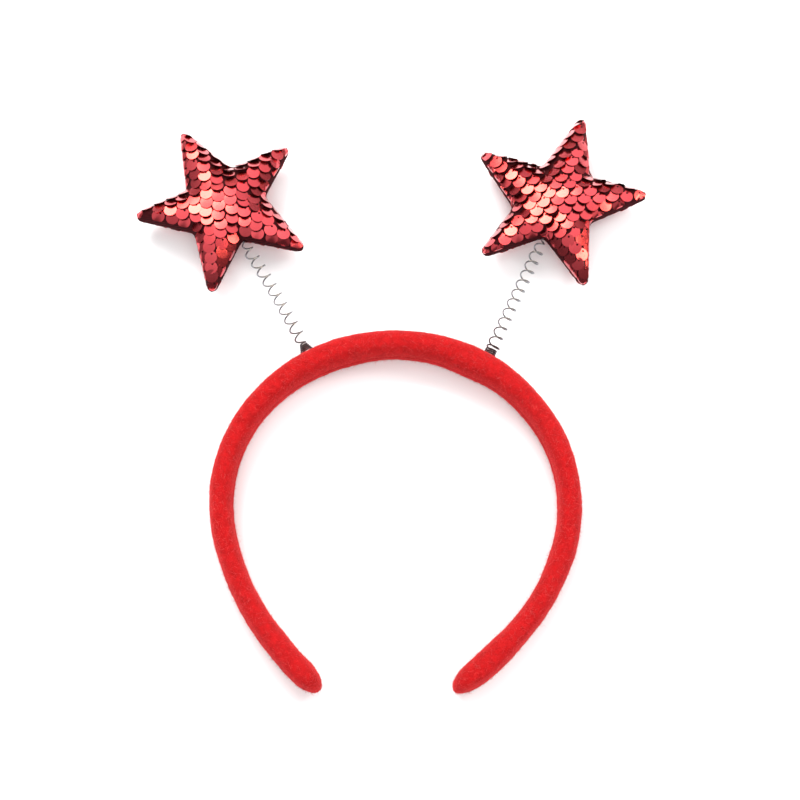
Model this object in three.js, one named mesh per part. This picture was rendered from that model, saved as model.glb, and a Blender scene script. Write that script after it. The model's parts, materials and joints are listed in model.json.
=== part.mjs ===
// Sprung-star headband, lying flat: a padded felt hoop, two coil springs and two stuffed sequin stars.
// Millimetres, +Z up, crown toward +Y, open end of the hoop toward -Y.
// The origin is on the table, under the middle of the whole outline.
import * as THREE from 'three';

// Hoop: each half of the centre line is three arcs, from the top of the crown down to the rounded end.
const BAND_WIDTH = 15.5;         // upright as the hoop lies, front to back when worn
const BAND_CORNER = 3.6;         // rounding of the four long edges
const CROWN_DEPTH = 9.2;         // from the inner face to the outer face, at the crown
const HALVES = {
  right: [
    { radius: 67, sweepDeg: 53, endDepth: 9.2, steps: 11 },
    { radius: 58, sweepDeg: 54, endDepth: 8.3, steps: 11 },
    { radius: 95, sweepDeg: 37.5, endDepth: 9.2, steps: 10 },
  ],
  left: [
    { radius: 68.5, sweepDeg: 43, endDepth: 9.2, steps: 9 },
    { radius: 58, sweepDeg: 62, endDepth: 8.3, steps: 13 },
    { radius: 106, sweepDeg: 32.6, endDepth: 9.2, steps: 10 },
  ],
};
const CORNER_STEPS = 3;
const TIP_LENGTH = 5;            // length of each rounded end
const TIP_RINGS = [0.35, 0.65, 0.87];  // places along a rounded end

// Springs: a few close turns on the felt, open turns, and a small closed end at the star.
const WIRE_DIAMETER = 0.5;
const COIL_RADIUS = 2.3;         // to the middle of the wire
const FOOT_RADIUS = 2.1;
const HEAD_RADIUS = 1.5;
const FOOT_TURNS = 6;
const HEAD_TURNS = 1.5;
const OPEN_TURNS = 9.5;
const CLOSE_PITCH = 0.64;
const STEPS_PER_TURN = 12;
const FIT_GAP = 0.3;             // between a spring's end and the felt or cloth
const FOOT_LIFT = 0.1;           // more room under the foot, where the felt curves away
const HEAD_LIFT = 0.8;           // more room at the head, where the notch closes in
const FOOT_HEIGHT = BAND_WIDTH / 2;

// Stars: each row is one arm and the notch that follows it, counter-clockwise about the star's middle.
// footDeg is where a star's spring stands, from the crown's top, and bow is the spring's sideways sag.
const STAR_HALF_THICKNESS = 8.6;
const SEAM_HEIGHT = 9;           // height of the edge seam above the table
const TIP_RADIUS = 2.2;
const TIP_HALF_SPAN_DEG = 70;
const NOTCH_TRIM = 1.6;          // length of side that each rounded notch takes up
const NOTCH_DROP = 0.45;         // from a rounded notch down to its sharp corner
const STUFFING_POWER = 0.72;
const SEAM_BLEND = 4;
const STAR_RINGS = [0.95, 0.85, 0.7, 0.5, 0.26];
const STARS = [
  {
    side: 'left', middle: [-67.2, 55.9], footDeg: 27.1, springArm: 3, bow: -0.7,
    arms: [
      { tipDeg: 43.6, tipReach: 34.4, notchDeg: 79, notchReach: 16.2 },
      { tipDeg: 118.8, tipReach: 34.3, notchDeg: 158, notchReach: 16 },
      { tipDeg: 188, tipReach: 34, notchDeg: 226, notchReach: 16.3 },
      { tipDeg: 264.2, tipReach: 35.4, notchDeg: 299, notchReach: 16.8 },
      { tipDeg: 330.8, tipReach: 36.4, notchDeg: 373, notchReach: 17.4 },
    ],
  },
  {
    side: 'right', middle: [62.5, 57.1], footDeg: 29.6, springArm: 3, bow: 0,
    arms: [
      { tipDeg: 4.8, tipReach: 35.5, notchDeg: 38, notchReach: 17.6 },
      { tipDeg: 72.4, tipReach: 36.4, notchDeg: 110, notchReach: 16 },
      { tipDeg: 145.2, tipReach: 35.2, notchDeg: 187, notchReach: 17.6 },
      { tipDeg: 216, tipReach: 35.8, notchDeg: 250.5, notchReach: 15.8 },
      { tipDeg: 287.2, tipReach: 35.2, notchDeg: 326, notchReach: 16 },
    ],
  },
];

const radians = THREE.MathUtils.degToRad;
const onCircle = (radius, degrees) =>
  new THREE.Vector2(Math.cos(radians(degrees)), Math.sin(radians(degrees))).multiplyScalar(radius);

// Closed skin over a list of equal rings. Each end is closed by one point.
function skinOverRings(rings, firstPoint, lastPoint) {
  const around = rings[0].length;
  const points = [...rings.flat(), firstPoint, lastPoint];
  const first = points.length - 2;
  const last = points.length - 1;
  const lastRing = (rings.length - 1) * around;
  const faces = [];
  for (let i = 0; i < around; i += 1) {
    const j = (i + 1) % around;
    faces.push(first, j, i);
    for (let ring = 0; ring < rings.length - 1; ring += 1) {
      const here = ring * around;
      const there = here + around;
      faces.push(here + i, here + j, there + j, here + i, there + j, there + i);
    }
    faces.push(lastRing + i, lastRing + j, last);
  }
  const geometry = new THREE.BufferGeometry().setFromPoints(points);
  geometry.setIndex(faces);
  geometry.computeVertexNormals();
  return geometry;
}

// Stations down one half of the hoop: place, heading and depth. The crown's top is the starting point.
function walkHalf(side) {
  const outward = side === 'right' ? 1 : -1;
  let place = new THREE.Vector2();
  let headingDeg = 0;
  let depth = CROWN_DEPTH;
  const stations = [{ place, headingDeg, depth }];
  for (const arc of HALVES[side]) {
    const stepDeg = arc.sweepDeg / arc.steps;
    const chord = 2 * arc.radius * Math.sin(radians(stepDeg / 2));
    const startDepth = depth;
    for (let step = 1; step <= arc.steps; step += 1) {
      const move = onCircle(chord, headingDeg - stepDeg / 2);
      place = place.clone().add(new THREE.Vector2(outward * move.x, move.y));
      headingDeg -= stepDeg;
      depth = THREE.MathUtils.lerp(startDepth, arc.endDepth, step / arc.steps);
      stations.push({ place, headingDeg, depth });
    }
  }
  return stations.map((station) => {
    const heading = onCircle(1, station.headingDeg);
    heading.x *= outward;
    return { place: station.place, heading, depth: station.depth };
  });
}

// One ring of the hoop's skin: a rounded rectangle square to the heading.
function bandRing({ place, heading, depth }, swell) {
  const outward = new THREE.Vector2(-heading.y, heading.x);
  const corners = [[1, 1], [-1, 1], [-1, -1], [1, -1]];
  return corners.flatMap(([right, up], corner) =>
    Array.from({ length: CORNER_STEPS + 1 }, (_, step) => {
      const bend = onCircle(BAND_CORNER, 90 * (corner + step / CORNER_STEPS));
      const across = right * (depth / 2 - BAND_CORNER) + bend.x;
      const upright = up * (BAND_WIDTH / 2 - BAND_CORNER) + bend.y;
      const spot = place.clone().addScaledVector(outward, across * swell);
      return new THREE.Vector3(spot.x, spot.y, BAND_WIDTH / 2 + upright * swell);
    }));
}

function bandGeometry() {
  const turnBack = (station) => ({ ...station, heading: station.heading.clone().negate() });
  const line = [...walkHalf('left').slice(1).reverse().map(turnBack), ...walkHalf('right')];
  const beyond = (station, share) => ({
    ...station,
    place: station.place.clone().addScaledVector(station.heading, share * TIP_LENGTH),
  });
  const capRing = (station, share) => bandRing(beyond(station, share), Math.sqrt(1 - share * share));
  const capPoint = (station, share) => {
    const { x, y } = beyond(station, share).place;
    return new THREE.Vector3(x, y, BAND_WIDTH / 2);
  };
  const leftEnd = line[0];
  const rightEnd = line[line.length - 1];
  const rings = [
    ...[...TIP_RINGS].reverse().map((share) => capRing(leftEnd, -share)),
    ...line.map((station) => bandRing(station, 1)),
    ...TIP_RINGS.map((share) => capRing(rightEnd, share)),
  ];
  return skinOverRings(rings, capPoint(leftEnd, -1), capPoint(rightEnd, 1));
}

// The edge seam of a star, counter-clockwise about its middle.
function starOutline(arms) {
  const tipPoint = (arm, degrees) =>
    onCircle(arm.tipReach - TIP_RADIUS, arm.tipDeg).add(onCircle(TIP_RADIUS, arm.tipDeg + degrees));
  const between = (from, to) => [1 / 3, 2 / 3].map((share) => from.clone().lerp(to, share));
  return arms.flatMap((arm, i) => {
    const nextArm = arms[(i + 1) % arms.length];
    const tip = [-1, -0.5, 0, 0.5, 1].map((share) => tipPoint(arm, share * TIP_HALF_SPAN_DEG));
    const tipEnd = tip[tip.length - 1];
    const nextStart = tipPoint(nextArm, -TIP_HALF_SPAN_DEG);
    const corner = onCircle(arm.notchReach - NOTCH_DROP, arm.notchDeg);
    const toward = (target) => target.clone().sub(corner).setLength(NOTCH_TRIM).add(corner);
    const notch = new THREE.QuadraticBezierCurve(toward(tipEnd), corner, toward(nextStart)).getPoints(2);
    return [...tip, ...between(tipEnd, notch[0]), ...notch, ...between(notch[2], nextStart)];
  });
}

// Distance from a place to a stretch of seam.
function seamDistance(place, from, to) {
  const along = to.clone().sub(from);
  const share = THREE.MathUtils.clamp(place.clone().sub(from).dot(along) / along.lengthSq(), 0, 1);
  return place.distanceTo(from.clone().addScaledVector(along, share));
}

// Stuffing: high in the middle, lower along the arms and down to nothing at the seam.
function stuffingOver(outline) {
  const softDistance = (place) => {
    const nearness = outline.map((from, i) =>
      seamDistance(place, from, outline[(i + 1) % outline.length]) ** -SEAM_BLEND);
    return nearness.reduce((sum, value) => sum + value, 0) ** (-1 / SEAM_BLEND);
  };
  const most = softDistance(new THREE.Vector2());
  return (place) => STAR_HALF_THICKNESS * Math.min(softDistance(place) / most, 1) ** STUFFING_POWER;
}

function starGeometry(arms) {
  const outline = starOutline(arms);
  const stuffing = stuffingOver(outline);
  const ringAt = (share, face) => outline.map((edge) => {
    const place = edge.clone().multiplyScalar(share);
    return new THREE.Vector3(place.x, place.y, share === 1 ? 0 : face * stuffing(place));
  });
  const rings = [
    ...[...STAR_RINGS].reverse().map((share) => ringAt(share, -1)),
    ringAt(1, 0),
    ...STAR_RINGS.map((share) => ringAt(share, 1)),
  ];
  return skinOverRings(rings,
    new THREE.Vector3(0, 0, -STAR_HALF_THICKNESS), new THREE.Vector3(0, 0, STAR_HALF_THICKNESS));
}

// Right-handed coil from foot to head: turns, height and radius change together along it.
class CoilCurve extends THREE.Curve {
  constructor(foot, head, bow) {
    super();
    this.foot = foot;
    this.bow = bow;
    this.axis = head.clone().sub(foot).normalize();
    this.across = new THREE.Vector3(0, 0, 1).cross(this.axis).normalize();
    this.upward = this.axis.clone().cross(this.across);
    this.turns = FOOT_TURNS + OPEN_TURNS + HEAD_TURNS;
    this.footLength = FOOT_TURNS * CLOSE_PITCH;
    this.headLength = HEAD_TURNS * CLOSE_PITCH;
    this.length = head.distanceTo(foot);
    this.openLength = this.length - this.footLength - this.headLength;
    this.arcLengthDivisions = 1600;
  }

  getPoint(t, target = new THREE.Vector3()) {
    const turn = t * this.turns;
    const footTurn = Math.min(turn, FOOT_TURNS);
    const openTurn = THREE.MathUtils.clamp(turn - FOOT_TURNS, 0, OPEN_TURNS);
    const headTurn = Math.max(turn - FOOT_TURNS - OPEN_TURNS, 0);
    const height = footTurn * CLOSE_PITCH + openTurn * this.openLength / OPEN_TURNS + headTurn * CLOSE_PITCH;
    const opening = THREE.MathUtils.smoothstep(turn, FOOT_TURNS - 1, FOOT_TURNS + 0.5);
    const closing = THREE.MathUtils.smoothstep(turn, this.turns - HEAD_TURNS - 0.5, this.turns);
    const radius = FOOT_RADIUS + (COIL_RADIUS - FOOT_RADIUS) * opening + (HEAD_RADIUS - COIL_RADIUS) * closing;
    return target.copy(this.foot)
      .addScaledVector(this.axis, height)
      .addScaledVector(this.across, this.bow * Math.sin(Math.PI * height / this.length))
      .addScaledVector(this.across, radius * Math.cos(2 * Math.PI * turn))
      .addScaledVector(this.upward, radius * Math.sin(2 * Math.PI * turn));
  }
}

function springGeometry(star) {
  const [middleX, middleY] = star.middle;
  const arm = star.arms[star.springArm];
  const outward = star.side === 'right' ? 1 : -1;
  const crown = HALVES[star.side][0];
  const felt = onCircle(crown.radius + CROWN_DEPTH / 2, 90 - star.footDeg);
  const notch = onCircle(arm.notchReach, arm.notchDeg);
  const onFelt = new THREE.Vector3(outward * felt.x, felt.y - crown.radius, FOOT_HEIGHT);
  const atNotch = new THREE.Vector3(middleX + notch.x, middleY + notch.y, SEAM_HEIGHT);
  const axis = atNotch.clone().sub(onFelt).normalize();
  const clear = FIT_GAP + WIRE_DIAMETER / 2;
  const foot = onFelt.addScaledVector(axis, clear + FOOT_LIFT);
  const head = atNotch.addScaledVector(axis, -clear - HEAD_LIFT);
  const path = new CoilCurve(foot, head, star.bow);
  const wire = new THREE.Shape().absarc(0, 0, WIRE_DIAMETER / 2, 0, 2 * Math.PI);
  return new THREE.ExtrudeGeometry(wire, {
    extrudePath: path,
    steps: Math.round(path.turns * STEPS_PER_TURN),
    curveSegments: 3,
    bevelEnabled: false,
  });
}

const felt = new THREE.MeshStandardMaterial({ color: '#d01f27', roughness: 0.95, metalness: 0 });
const springSteel = new THREE.MeshStandardMaterial({ color: '#8f9092', roughness: 0.3, metalness: 1 });
const sequinCloth = new THREE.MeshStandardMaterial({ color: '#c0202c', roughness: 0.35, metalness: 0.6 });

const headband = new THREE.Group();
function addPiece(name, geometry, material, x = 0, y = 0, z = 0) {
  const piece = new THREE.Mesh(geometry, material);
  piece.name = name;
  piece.position.set(x, y, z);
  headband.add(piece);
}

addPiece('band', bandGeometry(), felt);
for (const star of STARS) {
  addPiece(`${star.side}_spring`, springGeometry(star), springSteel);
  addPiece(`${star.side}_star`, starGeometry(star.arms), sequinCloth, ...star.middle, SEAM_HEIGHT);
}

// Move the whole headband so that its outline is centred and its underside is on the table.
const outline = new THREE.Box3().setFromObject(headband, true);
const centre = outline.getCenter(new THREE.Vector3());
headband.position.set(-centre.x, -centre.y, -outline.min.z);

const part = new THREE.Group();
part.add(headband);
export default part;
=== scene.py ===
# %% [markdown]
# Sprung-star headband, a lesson in cells.
# The real thing is a padded hoop wound in red felt. Two steel springs stand on its crown, and each
# spring carries a stuffed star of sequin cloth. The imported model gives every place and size, and
# this script dresses it: felt with a nap, drawn wire, stuffed pads and some hundreds of sequins.

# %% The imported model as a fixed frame
import json
import math

import bpy
import numpy as np
from mathutils import Vector, noise
from mathutils.bvhtree import BVHTree
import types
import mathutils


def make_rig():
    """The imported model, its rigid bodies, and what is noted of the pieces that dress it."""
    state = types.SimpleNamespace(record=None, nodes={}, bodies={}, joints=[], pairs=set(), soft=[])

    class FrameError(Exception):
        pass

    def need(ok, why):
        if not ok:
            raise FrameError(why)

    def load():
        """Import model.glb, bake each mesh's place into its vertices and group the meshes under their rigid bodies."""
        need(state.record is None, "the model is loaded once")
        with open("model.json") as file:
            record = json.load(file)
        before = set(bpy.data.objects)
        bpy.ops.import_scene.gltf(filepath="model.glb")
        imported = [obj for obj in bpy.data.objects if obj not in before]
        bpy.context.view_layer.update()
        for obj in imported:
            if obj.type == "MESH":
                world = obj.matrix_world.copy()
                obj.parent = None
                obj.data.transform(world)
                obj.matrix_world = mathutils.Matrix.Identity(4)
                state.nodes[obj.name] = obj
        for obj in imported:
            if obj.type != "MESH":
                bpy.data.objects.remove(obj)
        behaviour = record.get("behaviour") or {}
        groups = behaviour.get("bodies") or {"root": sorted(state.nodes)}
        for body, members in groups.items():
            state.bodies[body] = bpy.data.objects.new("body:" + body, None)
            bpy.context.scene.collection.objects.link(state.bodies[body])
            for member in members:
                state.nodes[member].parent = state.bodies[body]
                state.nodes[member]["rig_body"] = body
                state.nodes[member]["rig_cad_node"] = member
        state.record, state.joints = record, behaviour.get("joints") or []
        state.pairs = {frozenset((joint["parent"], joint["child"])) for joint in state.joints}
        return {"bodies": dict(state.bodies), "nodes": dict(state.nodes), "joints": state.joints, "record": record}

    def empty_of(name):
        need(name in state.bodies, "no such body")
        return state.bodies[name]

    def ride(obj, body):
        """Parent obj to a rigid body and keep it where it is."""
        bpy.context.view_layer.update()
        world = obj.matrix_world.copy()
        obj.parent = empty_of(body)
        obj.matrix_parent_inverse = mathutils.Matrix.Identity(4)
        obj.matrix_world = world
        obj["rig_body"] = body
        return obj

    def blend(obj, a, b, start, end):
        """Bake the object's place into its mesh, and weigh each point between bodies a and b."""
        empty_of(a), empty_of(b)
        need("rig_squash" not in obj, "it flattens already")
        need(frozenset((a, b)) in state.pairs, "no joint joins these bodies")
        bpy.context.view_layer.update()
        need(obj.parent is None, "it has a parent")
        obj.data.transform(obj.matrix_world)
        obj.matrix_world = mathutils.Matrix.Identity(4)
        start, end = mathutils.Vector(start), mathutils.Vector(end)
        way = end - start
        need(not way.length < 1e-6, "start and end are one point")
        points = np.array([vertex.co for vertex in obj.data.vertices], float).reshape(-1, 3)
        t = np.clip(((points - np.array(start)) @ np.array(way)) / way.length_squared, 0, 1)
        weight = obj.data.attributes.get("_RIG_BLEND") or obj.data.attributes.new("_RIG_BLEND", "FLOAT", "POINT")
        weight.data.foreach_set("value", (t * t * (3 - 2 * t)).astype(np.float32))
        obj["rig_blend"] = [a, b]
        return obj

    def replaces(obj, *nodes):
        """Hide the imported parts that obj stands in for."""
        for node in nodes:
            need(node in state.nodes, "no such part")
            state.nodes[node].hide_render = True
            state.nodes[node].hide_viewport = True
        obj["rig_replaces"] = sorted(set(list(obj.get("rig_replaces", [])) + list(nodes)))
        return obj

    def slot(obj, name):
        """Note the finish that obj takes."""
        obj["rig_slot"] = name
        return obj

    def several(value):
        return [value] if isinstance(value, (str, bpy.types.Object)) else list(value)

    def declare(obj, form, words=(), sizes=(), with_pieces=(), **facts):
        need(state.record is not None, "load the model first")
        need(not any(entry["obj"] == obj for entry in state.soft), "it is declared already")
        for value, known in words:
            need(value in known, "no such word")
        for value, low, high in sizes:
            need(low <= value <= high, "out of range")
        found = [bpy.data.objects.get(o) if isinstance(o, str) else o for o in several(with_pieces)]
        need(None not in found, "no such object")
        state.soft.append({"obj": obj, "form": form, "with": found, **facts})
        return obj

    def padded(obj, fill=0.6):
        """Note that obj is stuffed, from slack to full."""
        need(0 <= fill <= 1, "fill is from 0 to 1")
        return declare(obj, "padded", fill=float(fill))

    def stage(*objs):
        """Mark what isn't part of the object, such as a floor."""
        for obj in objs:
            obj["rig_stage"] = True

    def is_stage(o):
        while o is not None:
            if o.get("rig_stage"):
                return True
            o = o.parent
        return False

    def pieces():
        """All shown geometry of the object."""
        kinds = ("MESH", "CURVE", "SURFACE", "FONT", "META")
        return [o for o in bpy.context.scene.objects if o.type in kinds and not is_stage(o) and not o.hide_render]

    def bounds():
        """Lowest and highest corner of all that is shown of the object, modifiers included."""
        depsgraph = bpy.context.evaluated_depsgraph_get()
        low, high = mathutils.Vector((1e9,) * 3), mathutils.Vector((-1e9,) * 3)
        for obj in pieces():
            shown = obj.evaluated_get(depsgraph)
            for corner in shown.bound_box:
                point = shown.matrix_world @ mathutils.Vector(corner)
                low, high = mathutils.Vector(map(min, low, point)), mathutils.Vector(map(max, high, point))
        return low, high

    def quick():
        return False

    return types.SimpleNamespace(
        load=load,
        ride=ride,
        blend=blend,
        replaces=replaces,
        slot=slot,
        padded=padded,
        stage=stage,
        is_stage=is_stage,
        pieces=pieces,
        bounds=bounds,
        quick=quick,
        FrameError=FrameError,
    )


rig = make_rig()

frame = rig.load()
cad_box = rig.bounds()
MM = 0.001
SIDES = ("left", "right")
print("nodes:", sorted(frame["nodes"]), "joints:", [joint["name"] for joint in frame["joints"]])

# %% [markdown]
# The camera comes first, because every later choice is judged through it. The headband lies on a
# table and is seen from above, a little from its open end, so the camera stands 76 degrees up.
# A lens is given in millimetres on a 36 mm sensor. Here it follows from the wanted focal length in
# pixels of a square picture, which is how such a view is measured.

# %% Camera
PICTURE_PIXELS = 800
FOCAL_PIXELS = 1842
SENSOR_MM = 36
VIEW_DISTANCE = 700 * MM
VIEW_ELEVATION = math.radians(76)
VIEW_AIM = Vector((3.247, -1.079, 7.5)) * MM

camera_data = bpy.data.cameras.new("camera")
camera_data.sensor_width = SENSOR_MM
camera_data.lens = FOCAL_PIXELS / PICTURE_PIXELS * SENSOR_MM
camera = bpy.data.objects.new("camera", camera_data)
camera_side = Vector((0, -math.cos(VIEW_ELEVATION), math.sin(VIEW_ELEVATION)))
camera.location = VIEW_AIM + VIEW_DISTANCE * camera_side
camera.rotation_euler = (math.pi / 2 - VIEW_ELEVATION, 0, 0)
bpy.context.scene.collection.objects.link(camera)
bpy.context.scene.camera = camera
print(f"lens {camera_data.lens:.1f} mm, camera at {tuple(round(v, 3) for v in camera.location)}")

# %% [markdown]
# Three helpers serve every material. Colours are written as sRGB hex values, as a paint chart gives
# them, and one function turns them to the linear numbers that Blender mixes. Another adds a shader
# node, sets what it is given and links what comes from other nodes. The third starts a material.

# %% Colour and node helpers
def linear(hex_colour):
    """Linear RGBA of an sRGB hex colour such as #D8202A."""
    channels = [int(hex_colour[i:i + 2], 16) / 255 for i in (1, 3, 5)]
    bright = [c / 12.92 if c <= 0.04045 else ((c + 0.055) / 1.055) ** 2.4 for c in channels]
    return (*bright, 1.0)


def add_node(tree, kind, sockets=None, **settings):
    """Adds a node. A socket takes a plain value, or another node's output, which is then linked."""
    node = tree.nodes.new(kind)
    for name, value in settings.items():
        setattr(node, name, value)
    for socket, value in (sockets or {}).items():
        if isinstance(value, bpy.types.NodeSocket):
            tree.links.new(value, node.inputs[socket])
        else:
            node.inputs[socket].default_value = value
    return node


def new_material(name):
    """An empty node material and its tree."""
    material = bpy.data.materials.new(name)
    material.use_nodes = True
    material.node_tree.nodes.clear()
    return material, material.node_tree


print("linear #808080 is", round(linear("#808080")[0], 3))

# %% [markdown]
# Pieces are built as arrays of points and faces, which is quick for many small parts. This helper
# turns such arrays into an object with one material and smooth shading. Edges sharper than a given
# angle stay crisp, as on the rim of a sequin.

# %% Mesh helper
def mesh_piece(name, points, faces, material, crisp_deg=None):
    """An object from points in metres and lists of point numbers."""
    mesh = bpy.data.meshes.new(name)
    mesh.from_pydata(np.asarray(points).tolist(), [], [list(map(int, face)) for face in faces])
    mesh.materials.append(material)
    mesh.shade_smooth()
    if crisp_deg:
        mesh.set_sharp_from_angle(angle=math.radians(crisp_deg))
    piece = bpy.data.objects.new(name, mesh)
    bpy.context.scene.collection.objects.link(piece)
    triangles = sum(len(face) - 2 for face in faces)
    print(f"{name}: {triangles} triangles")
    return piece


# %% [markdown]
# The floor is a table top of white laminate. A matt press plate gives laminate its surface, so the
# eye sees an even white with no gloss. It is large, so that it reaches past the view, and it shows
# soft shadows with a little red in them where light bounces off the felt.

# %% Table top
FLOOR_HALF_SIZE = 6.0
TINT_PATCHES_PER_METRE = 3.0
table_laminate, tree = new_material("white matt laminate, moulded")
tint_noise = add_node(tree, "ShaderNodeTexNoise", {"Scale": TINT_PATCHES_PER_METRE, "Detail": 2.0})
table_tint = add_node(tree, "ShaderNodeMix", {
    0: tint_noise.outputs["Fac"],
    6: linear("#F6F5F5"),
    7: linear("#FAFAFA"),
}, data_type="RGBA")
table_skin = add_node(tree, "ShaderNodeBsdfPrincipled", {
    "Base Color": table_tint.outputs[2],
    "Roughness": 0.75,
    "Specular IOR Level": 0.2,
})
add_node(tree, "ShaderNodeOutputMaterial", {"Surface": table_skin.outputs[0]})
corners = [(-1, -1), (1, -1), (1, 1), (-1, 1)]
floor = mesh_piece("floor", [(x * FLOOR_HALF_SIZE, y * FLOOR_HALF_SIZE, 0) for x, y in corners],
                   [(0, 1, 2, 3)], table_laminate)
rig.stage(floor)

# %% [markdown]
# Sequins are small mirrors, so what they show is the room. Two soft boxes hang behind the crown, one
# to each side, under a pale patch of ceiling, and the rest of the room is dim. Sequins that lean
# toward a box turn pale, and those that lean toward the camera or the horizon go dark, which is what
# makes a star sparkle. Each box is two lamps: a neutral one lights the table and the felt, and a
# warm one just in front of it shows only in the sequins, so that their glare is cream and the
# shadows grey. Wide fill lights lift the shadows and the felt's sides. They are kept out of mirror
# reflections, as a photographer flags a light off a shiny part.

# %% Soft boxes and room
LIGHT_AIM = Vector((0, 20, 0)) * MM
SOFT_BOXES = {
    "soft_box_left": {"place": (-0.36, 0.84, 0.78), "size": (0.60, 0.52), "power": 10.0, "glare": 10.5},
    "soft_box_right": {"place": (0.86, 0.36, 0.80), "size": (0.35, 0.45), "power": 5.0, "glare": 5.3},
}
GLARE_PLACE = 0.97
FILLS = {
    "overhead_fill": {"from": (0.0, 0.1, 1.0), "spread_deg": 80, "strength": 0.30},
    "front_fill": {"from": (0.0, -0.84, 1.0), "spread_deg": 70, "strength": 1.70},
    "left_fill": {"from": (-1.0, -0.2, 0.3), "spread_deg": 80, "strength": 0.42},
    "right_fill": {"from": (1.0, -0.2, 0.3), "spread_deg": 80, "strength": 0.42},
    "back_fill": {"from": (0.0, 1.0, 0.3), "spread_deg": 80, "strength": 0.20},
}
WARM_WHITE = "#FFE2B6"
BRIGHT_CEILING = (-0.10, 0.70, 0.707)
CEILING_FALLOFF = 2.3
ROOM_STRENGTH = 1.95


def add_lamp(name, kind, place):
    """A lamp that points at the middle of the headband."""
    lamp = bpy.data.objects.new(name, bpy.data.lights.new(name, kind))
    lamp.location = place
    lamp.rotation_euler = (LIGHT_AIM - Vector(place)).to_track_quat("-Z", "Y").to_euler()
    bpy.context.scene.collection.objects.link(lamp)
    return lamp


for name, box in SOFT_BOXES.items():
    for part, colour, nearness in (("power", "#FFFFFF", 1), ("glare", WARM_WHITE, GLARE_PLACE)):
        soft_box = add_lamp(f"{name}_{part}", "AREA", Vector(box["place"]) * nearness)
        soft_box.data.shape = "RECTANGLE"
        soft_box.data.size, soft_box.data.size_y = box["size"]
        soft_box.data.energy = box[part]
        soft_box.data.color = linear(colour)[:3]
        soft_box.visible_diffuse = part == "power"
        soft_box.visible_glossy = part == "glare"
for name, fill in FILLS.items():
    wide_fill = add_lamp(name, "SUN", fill["from"])
    wide_fill.data.angle = math.radians(fill["spread_deg"])
    wide_fill.data.energy = fill["strength"]
    wide_fill.visible_glossy = False

world = bpy.data.worlds.new("dim studio room")
world.use_nodes = True
room_tree = world.node_tree
room_tree.nodes.clear()
direction = add_node(room_tree, "ShaderNodeTexCoord").outputs["Generated"]
height_part = add_node(room_tree, "ShaderNodeSeparateXYZ", {0: direction})
toward_ceiling = add_node(room_tree, "ShaderNodeVectorMath", {0: direction, 1: BRIGHT_CEILING},
                          operation="DOT_PRODUCT")
ceiling_share = add_node(room_tree, "ShaderNodeMapRange", {
    "Value": toward_ceiling.outputs["Value"], "From Min": 0.1, "From Max": 0.98,
})
ceiling_fade = add_node(room_tree, "ShaderNodeMath", {0: ceiling_share.outputs[0], 1: CEILING_FALLOFF},
                        operation="POWER")
above_horizon = add_node(room_tree, "ShaderNodeMapRange", {
    "Value": height_part.outputs["Z"], "From Min": 0.05, "From Max": 0.5,
}, interpolation_type="SMOOTHSTEP")
bright_share = add_node(room_tree, "ShaderNodeMath", {
    0: ceiling_fade.outputs[0], 1: above_horizon.outputs[0],
}, operation="MULTIPLY")
room_colour = add_node(room_tree, "ShaderNodeMix", {
    0: bright_share.outputs[0], 6: linear("#4A4A4C"), 7: linear("#F8F8F8"),
}, data_type="RGBA")
room = add_node(room_tree, "ShaderNodeBackground", {
    "Color": room_colour.outputs[2], "Strength": ROOM_STRENGTH,
})
add_node(room_tree, "ShaderNodeOutputWorld", {"Surface": room.outputs[0]})
bpy.context.scene.world = world
bpy.context.scene.view_settings.view_transform = "Standard"
print("lights:", list(SOFT_BOXES) + list(FILLS))

# %% [markdown]
# Needled felt is a mat of fine fibres punched together with barbed needles. It has no weave: the
# eye sees a mottled colour in clumps of a millimetre or two, short fibres that lie every way, and a
# soft glow at the edges where loose fibres catch the light. Noise at two real sizes gives the
# clumps and the fibres, and the sheen lobe gives the glow. Tufts of fibre are about 0.15 mm wide,
# finer than a pixel, so the fibre noise is drawn about five times too coarse, or it would not show.

# %% Felt
CLUMP_SIZE = 2.6 * MM
FIBRE_SIZE = 0.8 * MM
FIBRE_RELIEF = 0.35 * MM


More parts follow.
